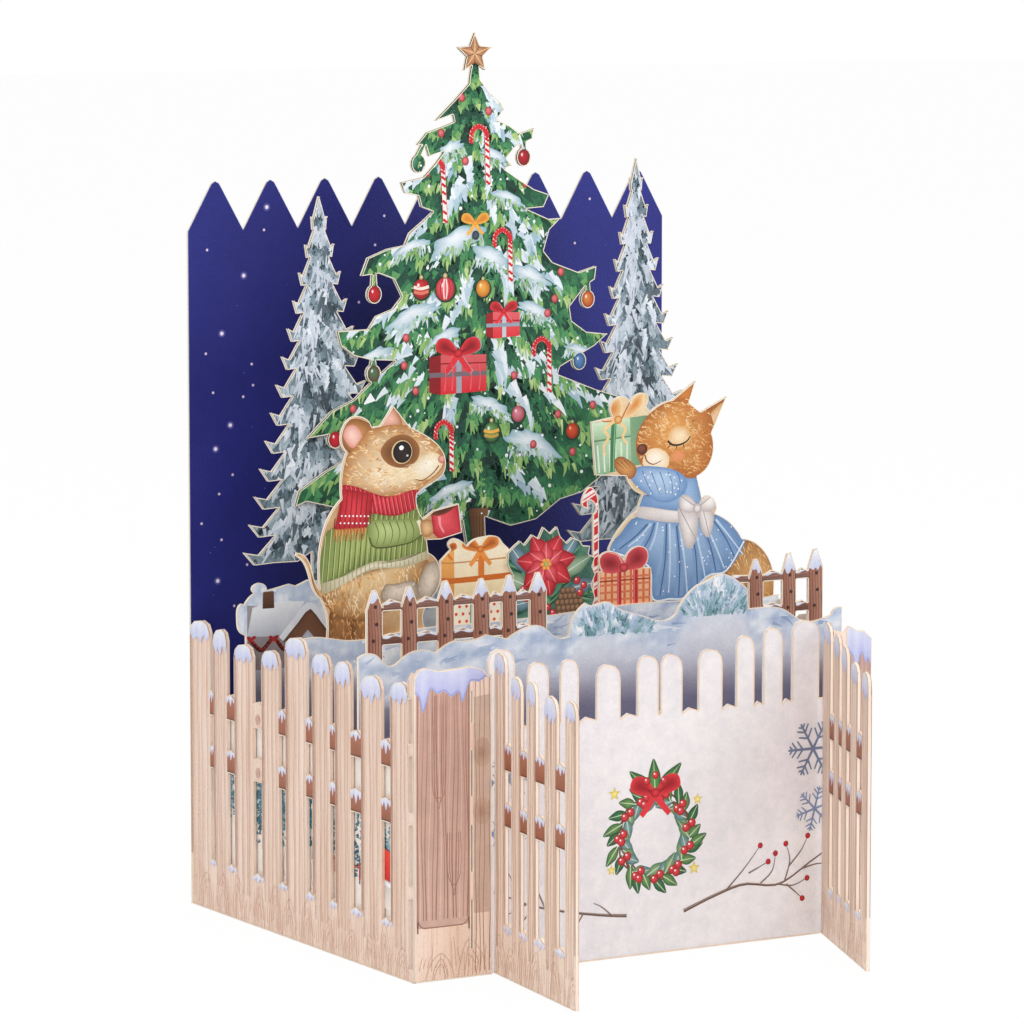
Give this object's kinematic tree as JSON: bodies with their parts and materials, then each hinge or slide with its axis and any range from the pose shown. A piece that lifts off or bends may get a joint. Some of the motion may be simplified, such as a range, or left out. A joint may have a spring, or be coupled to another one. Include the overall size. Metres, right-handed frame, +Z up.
{
  "type": "pop up card",
  "caption": "Standing box-style pop up card: folded card tube with two picket gates, snow layers, die cut trees and winter figures in front of a tall night sky panel.",
  "frame": {"origin": "on the table, under the middle of the front panel's card", "axes": "+Z up, the card's front faces -Y, +X to the viewer's right"},
  "size_m": [0.1215, 0.1385, 0.1882],
  "materials": {
    "peach_wood": "matte printed card",
    "liner_print": "matte printed card",
    "night_print": "matte printed card",
    "gate_wood": "matte printed card",
    "snow_print": "matte printed card",
    "fence_print": "matte printed card",
    "mouse_print": "matte printed card",
    "squirrel_print": "matte printed card",
    "parcel_print": "matte printed card",
    "flower_print": "matte printed card",
    "checked_print": "matte printed card",
    "cane_print": "matte printed card",
    "tree_print": "matte printed card",
    "frost_print": "matte printed card"
  },
  "bodies": {
    "card_box": {"left_fence_side": "peach_wood", "right_fence_side": "peach_wood", "message_liner": "liner_print", "night_sky_panel": "night_print", "front_snow_layer": "snow_print", "middle_snow_layer": "snow_print", "rear_snow_layer": "snow_print", "left_garden_fence": "fence_print", "right_garden_fence": "fence_print", "mouse": "mouse_print", "squirrel": "squirrel_print", "stacked_parcels": "parcel_print", "flower_arrangement": "flower_print", "checked_parcel": "checked_print", "candy_cane": "cane_print", "decorated_tree": "tree_print", "left_frosted_tree": "frost_print", "right_frosted_tree": "frost_print"},
    "left_gate": {"left_gate": "gate_wood"},
    "right_gate": {"right_gate": "gate_wood"}
  },
  "joints": [
    {"name": "left_gate_crease", "type": "hinge", "parent": "card_box", "child": "left_gate", "pos_m": [-0.0418, -0.0014, 0], "axis": [0, 0, -1], "range_deg": [-97, 75]},
    {"name": "right_gate_crease", "type": "hinge", "parent": "card_box", "child": "right_gate", "pos_m": [0.0391, -0.0014, 0], "axis": [0, 0, 1], "range_deg": [-69, 103]}
  ]
}
